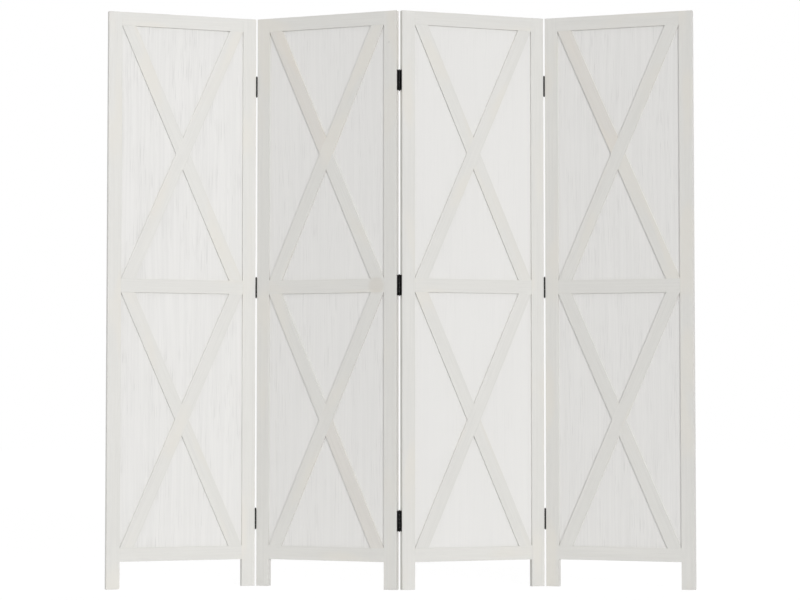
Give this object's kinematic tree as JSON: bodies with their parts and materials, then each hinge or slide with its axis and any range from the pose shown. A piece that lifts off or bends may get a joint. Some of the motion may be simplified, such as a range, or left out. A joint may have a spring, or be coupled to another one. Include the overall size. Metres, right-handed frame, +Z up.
{
  "type": "folding screen",
  "caption": "Free-standing folding screen: painted framed panels with inset boards and crossed braces on both faces, hinged edge to edge so that they stand in a zigzag and fold flat.",
  "frame": {"origin": "on the floor, under the middle of the screen's standing footprint", "axes": "+Z up; +X along the screen, from its left end to its right end as seen from the front; +Y from the front to the back"},
  "size_m": [1.7288, 0.1744, 1.7],
  "materials": {
    "frame_paint": "satin off-white paint over wood",
    "board_paint": "satin white paint over grained board",
    "hinge_black": "black enamel",
    "pin_dark": "worn black steel",
    "screw_black": "black phosphate"
  },
  "bodies": {
    "panel_1": {"panel_1_left_stile": "frame_paint", "panel_1_right_stile": "frame_paint", "panel_1_top_rail": "frame_paint", "panel_1_middle_rail": "frame_paint", "panel_1_bottom_rail": "frame_paint", "panel_1_upper_board": "board_paint", "panel_1_lower_board": "board_paint", "panel_1_upper_rising_braces": "frame_paint", "panel_1_upper_falling_braces": "frame_paint", "panel_1_lower_rising_braces": "frame_paint", "panel_1_lower_falling_braces": "frame_paint", "panel_1_hinge_screws": "screw_black", "panel_1_right_leaves": "hinge_black", "left_hinge_pins": "pin_dark"},
    "panel_2": {"panel_2_left_stile": "frame_paint", "panel_2_right_stile": "frame_paint", "panel_2_top_rail": "frame_paint", "panel_2_middle_rail": "frame_paint", "panel_2_bottom_rail": "frame_paint", "panel_2_upper_board": "board_paint", "panel_2_lower_board": "board_paint", "panel_2_upper_rising_braces": "frame_paint", "panel_2_upper_falling_braces": "frame_paint", "panel_2_lower_rising_braces": "frame_paint", "panel_2_lower_falling_braces": "frame_paint", "panel_2_hinge_screws": "screw_black", "panel_2_left_leaves": "hinge_black", "panel_2_right_leaves": "hinge_black", "middle_hinge_pins": "pin_dark"},
    "panel_3": {"panel_3_left_stile": "frame_paint", "panel_3_right_stile": "frame_paint", "panel_3_top_rail": "frame_paint", "panel_3_middle_rail": "frame_paint", "panel_3_bottom_rail": "frame_paint", "panel_3_upper_board": "board_paint", "panel_3_lower_board": "board_paint", "panel_3_upper_rising_braces": "frame_paint", "panel_3_upper_falling_braces": "frame_paint", "panel_3_lower_rising_braces": "frame_paint", "panel_3_lower_falling_braces": "frame_paint", "panel_3_hinge_screws": "screw_black", "panel_3_left_leaves": "hinge_black", "panel_3_right_leaves": "hinge_black", "right_hinge_pins": "pin_dark"},
    "panel_4": {"panel_4_left_stile": "frame_paint", "panel_4_right_stile": "frame_paint", "panel_4_top_rail": "frame_paint", "panel_4_middle_rail": "frame_paint", "panel_4_bottom_rail": "frame_paint", "panel_4_upper_board": "board_paint", "panel_4_lower_board": "board_paint", "panel_4_upper_rising_braces": "frame_paint", "panel_4_upper_falling_braces": "frame_paint", "panel_4_lower_rising_braces": "frame_paint", "panel_4_lower_falling_braces": "frame_paint", "panel_4_hinge_screws": "screw_black", "panel_4_left_leaves": "hinge_black"}
  },
  "joints": [
    {"name": "left_hinge", "type": "hinge", "parent": "panel_2", "child": "panel_1", "pos_m": [-0.43457, 0.06999, 0], "axis": [0, 0, 1], "range_deg": [-41, 139]},
    {"name": "middle_hinge", "type": "hinge", "parent": "panel_2", "child": "panel_3", "pos_m": [-0.00232, -0.07027, 0], "axis": [0, 0, 1], "range_deg": [-41, 139]},
    {"name": "right_hinge", "type": "hinge", "parent": "panel_3", "child": "panel_4", "pos_m": [0.42993, 0.06999, 0], "axis": [0, 0, -1], "range_deg": [-39, 141]}
  ]
}
